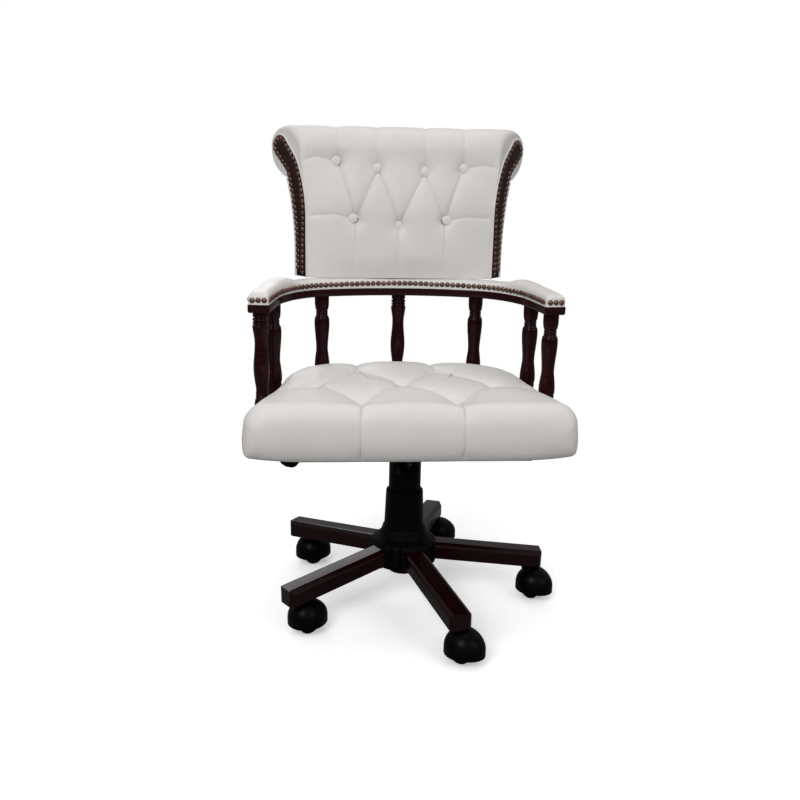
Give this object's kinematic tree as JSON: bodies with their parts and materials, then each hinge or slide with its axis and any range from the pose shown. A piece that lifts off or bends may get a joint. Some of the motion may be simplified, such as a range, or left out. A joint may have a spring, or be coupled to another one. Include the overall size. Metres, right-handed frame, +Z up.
{
  "type": "desk armchair",
  "caption": "Swivel desk armchair with a tufted white leather seat and scrolled back, a horseshoe arm rail on turned posts and a star base on casters.",
  "frame": {"origin": "on the floor under the column, the centre of the star base", "axes": "+Z up, the sitter faces -Y, +X to the sitter's left"},
  "size_m": [0.6113, 0.6162, 0.9323],
  "materials": {
    "mahogany": "dark red stain under gloss lacquer",
    "leather": "off-white, lightly grained, satin",
    "board": "raw plywood",
    "black_metal": "black powder coat",
    "black_plastic": "fine texture, satin",
    "caster_nylon": "smooth, satin gloss",
    "bush_plastic": "smooth",
    "steel": "zinc plated",
    "button_red": "smooth",
    "bronze": "antique, darkened in the hollows"
  },
  "bodies": {
    "base": {"base_hub": "black_metal", "base_leg_1": "mahogany", "base_leg_2": "mahogany", "base_leg_3": "mahogany", "base_leg_4": "mahogany", "base_leg_5": "mahogany", "leg_bolts": "steel", "stand_tube": "black_metal", "guide_bush": "bush_plastic", "lower_column_cover": "black_plastic", "caster_stems": "steel"},
    "spindle": {"piston_rod": "steel", "thrust_bearing": "steel", "retaining_clip": "steel"},
    "middle_cover": {"middle_column_cover": "black_plastic"},
    "column": {"gas_cylinder": "black_metal", "upper_column_cover": "black_plastic", "mechanism_housing": "black_metal", "pivot_pin": "steel", "tension_spring": "steel"},
    "lever": {"height_lever": "black_plastic"},
    "valve": {"valve_button": "button_red"},
    "seat": {"seat_plate": "black_metal", "frame_bolts": "steel", "seat_board": "board", "seat_frame": "mahogany", "seat_cushion": "leather", "post_1": "mahogany", "post_2": "mahogany", "post_3": "mahogany", "post_4": "mahogany", "post_5": "mahogany", "post_6": "mahogany", "post_7": "mahogany", "arm_rail": "mahogany", "arm_pad": "leather", "arm_nails": "bronze", "back_frame": "board", "back_facings": "mahogany", "back_cushion": "leather", "back_cover": "leather", "back_nails": "bronze", "back_buttons": "leather"},
    "washer": {"spring_washer": "steel"},
    "knob": {"tension_knob": "black_plastic"},
    "caster_1": {"caster_hood_1": "caster_nylon"},
    "left_wheel_1": {"wheel_left_1": "caster_nylon"},
    "right_wheel_1": {"wheel_right_1": "caster_nylon"},
    "caster_2": {"caster_hood_2": "caster_nylon"},
    "left_wheel_2": {"wheel_left_2": "caster_nylon"},
    "right_wheel_2": {"wheel_right_2": "caster_nylon"},
    "caster_3": {"caster_hood_3": "caster_nylon"},
    "left_wheel_3": {"wheel_left_3": "caster_nylon"},
    "right_wheel_3": {"wheel_right_3": "caster_nylon"},
    "caster_4": {"caster_hood_4": "caster_nylon"},
    "left_wheel_4": {"wheel_left_4": "caster_nylon"},
    "right_wheel_4": {"wheel_right_4": "caster_nylon"},
    "caster_5": {"caster_hood_5": "caster_nylon"},
    "left_wheel_5": {"wheel_left_5": "caster_nylon"},
    "right_wheel_5": {"wheel_right_5": "caster_nylon"}
  },
  "joints": [
    {"name": "swivel", "type": "hinge", "parent": "base", "child": "spindle", "pos_m": [0, 0, 0.1], "axis": [0, 0, 1], "continuous": true},
    {"name": "lift", "type": "slide", "parent": "spindle", "child": "column", "axis": [0, 0, 1], "range_m": [0, 0.09]},
    {"name": "middle_cover_slide", "type": "slide", "parent": "base", "child": "middle_cover", "axis": [0, 0, 1], "range_m": [0, 0.045]},
    {"name": "tilt", "type": "hinge", "parent": "column", "child": "seat", "pos_m": [0, -0.038, 0.32929], "axis": [-1, 0, 0], "range_deg": [0, 12], "stiffness_Nm_per_rad": 400, "springref_deg": -6.88, "deforming": ["tension_spring"]},
    {"name": "lever_lift", "type": "hinge", "parent": "column", "child": "lever", "pos_m": [-0.052, 0, 0.32279], "axis": [0, 1, 0], "range_deg": [0, 4.5], "stiffness_Nm_per_rad": 6, "springref_deg": -1.72},
    {"name": "valve_press", "type": "slide", "parent": "column", "child": "valve", "axis": [0, 0, -1], "range_m": [0, 0.0043]},
    {"name": "washer_lift", "type": "slide", "parent": "seat", "child": "washer", "axis": [0, 0, 1], "range_m": [0, 0.0045]},
    {"name": "tension_turn", "type": "hinge", "parent": "washer", "child": "knob", "pos_m": [0, -0.075, 0.28979], "axis": [0, 0, 1], "range_deg": [0, 1090]},
    {"name": "caster_swivel_1", "type": "hinge", "parent": "base", "child": "caster_1", "pos_m": [-0.2097, -0.14684, 0.06], "axis": [0, 0, 1], "continuous": true},
    {"name": "left_roll_1", "type": "hinge", "parent": "caster_1", "child": "left_wheel_1", "pos_m": [-0.19411, -0.13784, 0.021], "axis": [-0.5, 0.866, 0], "continuous": true},
    {"name": "right_roll_1", "type": "hinge", "parent": "caster_1", "child": "right_wheel_1", "pos_m": [-0.19411, -0.13784, 0.021], "axis": [-0.5, 0.866, 0], "continuous": true},
    {"name": "caster_swivel_2", "type": "hinge", "parent": "base", "child": "caster_2", "pos_m": [0.07485, -0.24481, 0.06], "axis": [0, 0, 1], "continuous": true},
    {"name": "left_roll_2", "type": "hinge", "parent": "caster_2", "child": "left_wheel_2", "pos_m": [0.08864, -0.25638, 0.021], "axis": [0.6428, 0.766, 0], "continuous": true},
    {"name": "right_roll_2", "type": "hinge", "parent": "caster_2", "child": "right_wheel_2", "pos_m": [0.08864, -0.25638, 0.021], "axis": [0.6428, 0.766, 0], "continuous": true},
    {"name": "caster_swivel_3", "type": "hinge", "parent": "base", "child": "caster_3", "pos_m": [0.25596, -0.00447, 0.06], "axis": [0, 0, 1], "continuous": true},
    {"name": "left_roll_3", "type": "hinge", "parent": "caster_3", "child": "left_wheel_3", "pos_m": [0.26869, -0.0172, 0.021], "axis": [0.7071, 0.7071, 0], "continuous": true},
    {"name": "right_roll_3", "type": "hinge", "parent": "caster_3", "child": "right_wheel_3", "pos_m": [0.26869, -0.0172, 0.021], "axis": [0.7071, 0.7071, 0], "continuous": true},
    {"name": "caster_swivel_4", "type": "hinge", "parent": "base", "child": "caster_4", "pos_m": [0.08335, 0.24205, 0.06], "axis": [0, 0, 1], "continuous": true},
    {"name": "left_roll_4", "type": "hinge", "parent": "caster_4", "child": "left_wheel_4", "pos_m": [0.10107, 0.24518, 0.021], "axis": [-0.1736, 0.9848, 0], "continuous": true},
    {"name": "right_roll_4", "type": "hinge", "parent": "caster_4", "child": "right_wheel_4", "pos_m": [0.10107, 0.24518, 0.021], "axis": [-0.1736, 0.9848, 0], "continuous": true},
    {"name": "caster_swivel_5", "type": "hinge", "parent": "base", "child": "caster_5", "pos_m": [-0.20445, 0.15406, 0.06], "axis": [0, 0, 1], "continuous": true},
    {"name": "left_roll_5", "type": "hinge", "parent": "caster_5", "child": "left_wheel_5", "pos_m": [-0.18814, 0.16167, 0.021], "axis": [-0.4226, 0.9063, 0], "continuous": true},
    {"name": "right_roll_5", "type": "hinge", "parent": "caster_5", "child": "right_wheel_5", "pos_m": [-0.18814, 0.16167, 0.021], "axis": [-0.4226, 0.9063, 0], "continuous": true}
  ],
  "couplings": [
    {"joint": "middle_cover_slide", "follows": "lift", "ratio": 0.5},
    {"joint": "valve_press", "follows": "lever_lift", "m_per_rad": 0.052},
    {"joint": "tension_turn", "follows": "washer_lift", "rad_per_m": 4188.8}
  ]
}
